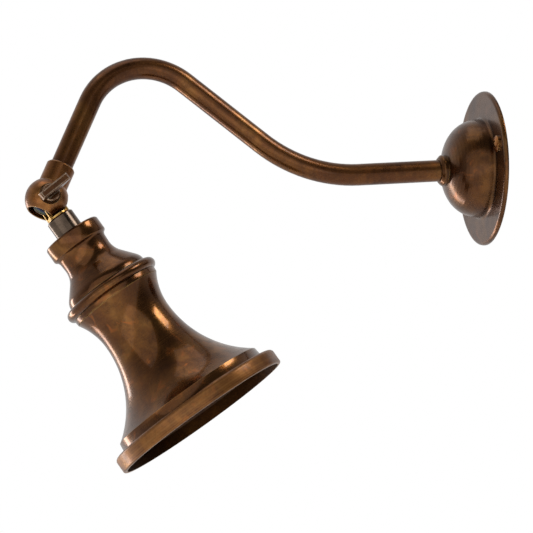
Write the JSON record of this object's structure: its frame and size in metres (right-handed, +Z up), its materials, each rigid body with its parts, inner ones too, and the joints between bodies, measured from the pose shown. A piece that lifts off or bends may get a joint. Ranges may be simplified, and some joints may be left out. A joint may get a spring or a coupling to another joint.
{
  "type": "wall sconce",
  "caption": "Swan neck wall lamp in antique brass: a domed round rose, a curved fixed arm and a bell shade that tilts on a ball knuckle locked by a wing screw.",
  "frame": {"origin": "centre of the rose in the plane of the wall, which is the centre of the two wall screws", "axes": "+Z up, +Y into the wall, so that the lamp stands out towards -Y and the arm lies in the plane x = 0; the locking screw's wing is on the +X side"},
  "size_m": [0.1112, 0.2831, 0.2503],
  "materials": {
    "aged_brass": "antique brown brass under clear lacquer",
    "bright_brass": "plain turned brass",
    "gunmetal": "dark plated steel",
    "zinc_steel": "zinc plated",
    "bakelite": "moulded phenolic",
    "porcelain": "glazed porcelain",
    "terminal_plastic": "moulded, satin",
    "live_insulation": "brown insulation",
    "neutral_insulation": "blue insulation",
    "earth_insulation": "green insulation"
  },
  "bodies": {
    "arm": {"wall_strap": "zinc_steel", "wall_rose": "aged_brass", "rose_screws": "bright_brass", "collar_ring": "aged_brass", "end_nipple": "bright_brass", "lock_washer": "zinc_steel", "lock_nut": "bright_brass", "arm_tube": "aged_brass", "terminal_block": "terminal_plastic", "terminal_sleeves": "bright_brass", "terminal_screws": "zinc_steel", "earth_tag": "zinc_steel", "earth_screw": "bright_brass", "live_wire": "live_insulation", "neutral_wire": "neutral_insulation", "earth_wire": "earth_insulation", "knuckle_socket": "aged_brass", "friction_washers": "bright_brass"},
    "locking_screw": {"wing_screw": "aged_brass"},
    "head": {"knuckle_tongue": "bright_brass", "coupler_sleeve": "gunmetal", "shade_nipple": "bright_brass", "shade_washer": "zinc_steel", "shade_nut": "bright_brass", "shade_cup": "aged_brass", "shade_bell": "aged_brass", "holder_cap": "bakelite", "holder_body": "bakelite", "holder_core": "porcelain", "screw_shell": "bright_brass", "centre_contact": "bright_brass", "holder_terminals": "bright_brass", "head_live_wire": "live_insulation", "head_neutral_wire": "neutral_insulation", "head_earth_wire": "earth_insulation"}
  },
  "joints": [
    {"name": "knuckle_tilt", "type": "hinge", "parent": "arm", "child": "head", "pos_m": [0, -0.27035, -0.02027], "axis": [1, 0, 0], "range_deg": [-58, 30]},
    {"name": "wing_screw_turn", "type": "hinge", "parent": "arm", "child": "locking_screw", "pos_m": [0, -0.27035, -0.02027], "axis": [1, 0, 0], "range_deg": [0, 180]}
  ]
}
